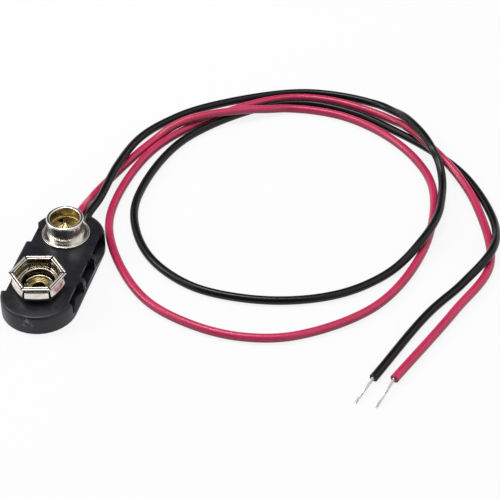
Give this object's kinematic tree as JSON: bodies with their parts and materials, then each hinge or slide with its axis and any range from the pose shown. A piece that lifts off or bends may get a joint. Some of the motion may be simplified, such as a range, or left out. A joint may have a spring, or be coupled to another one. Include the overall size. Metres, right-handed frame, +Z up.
{
  "type": "battery snap connector",
  "caption": "Elongated moulded battery snap connector with a hollow stud and a petalled snap socket on top, and thin insulated leads that leave one end and finish in bare twisted strands.",
  "frame": {"origin": "bottom centre of the moulded housing, measured without the leads", "axes": "+Z up from the back cover to the contacts; +Y along the housing to the end where the leads come out, which is the stud's end; +X to the right seen from above with +Y away"},
  "size_m": [0.0696, 0.0704, 0.0065],
  "materials": {
    "housing": "black moulded plastic with a slight sheen",
    "nickel": "bright nickel plate on pressed brass",
    "brass": "bare brass, bright",
    "tinned_metal": "tin plate",
    "solder": "dull solder",
    "red_insulation": "soft PVC, slight sheen",
    "black_insulation": "soft PVC, slight sheen"
  },
  "bodies": {
    "root": {"housing_shell": "housing", "back_cover": "housing", "stud_contact": "nickel", "socket_contact": "nickel", "stud_eyelet": "brass", "socket_eyelet": "brass", "stud_tag": "tinned_metal", "socket_tag": "tinned_metal", "red_lead": "red_insulation", "black_lead": "black_insulation", "red_core": "tinned_metal", "black_core": "tinned_metal", "red_strands": "tinned_metal", "black_strands": "tinned_metal", "red_solder": "solder", "black_solder": "solder"}
  },
  "joints": []
}
